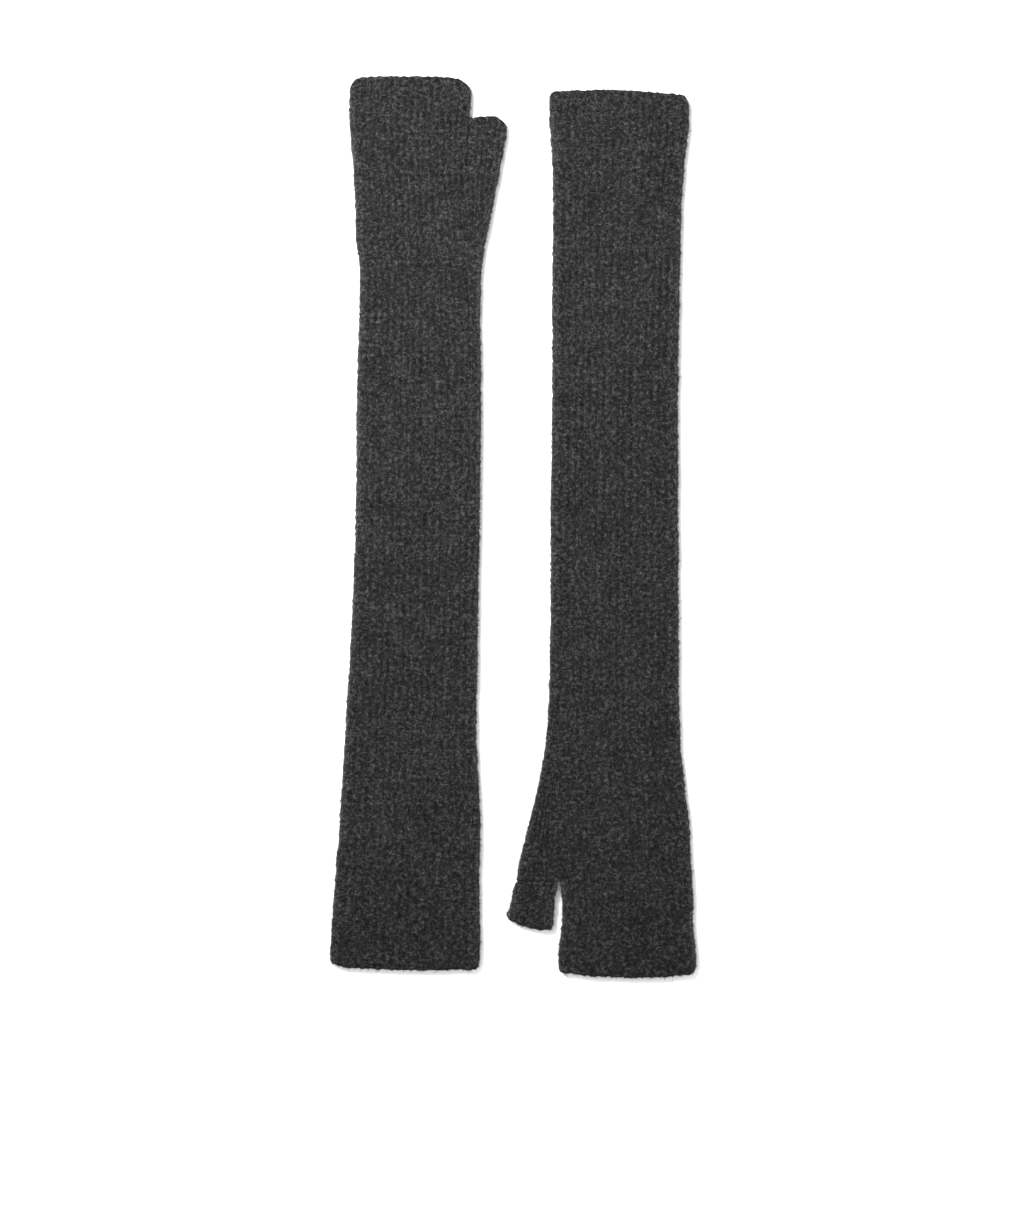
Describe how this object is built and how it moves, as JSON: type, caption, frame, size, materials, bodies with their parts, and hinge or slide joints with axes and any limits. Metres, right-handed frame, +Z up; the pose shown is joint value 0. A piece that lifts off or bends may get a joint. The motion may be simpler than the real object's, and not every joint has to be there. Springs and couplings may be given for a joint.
{
  "type": "pair of long fingerless gloves",
  "caption": "Long fingerless arm-warmer gloves in fine ribbed charcoal wool, each a flat knitted tube with a short open thumb, laid side by side.",
  "frame": {"origin": "middle of the pair's box, on the surface that the gloves lie on", "axes": "+Z up from the surface; +Y along the gloves, towards the hand of the glove on the left; +X across the pair, from that glove to the other"},
  "size_m": [0.205, 0.5042, 0.005],
  "materials": {
    "charcoal_wool": "brushed wool rib knit in a charcoal melange, matt with a short nap"
  },
  "bodies": {
    "root": {"left_glove_tube": "charcoal_wool", "left_glove_thumb": "charcoal_wool", "right_glove_tube": "charcoal_wool", "right_glove_thumb": "charcoal_wool"}
  },
  "joints": []
}
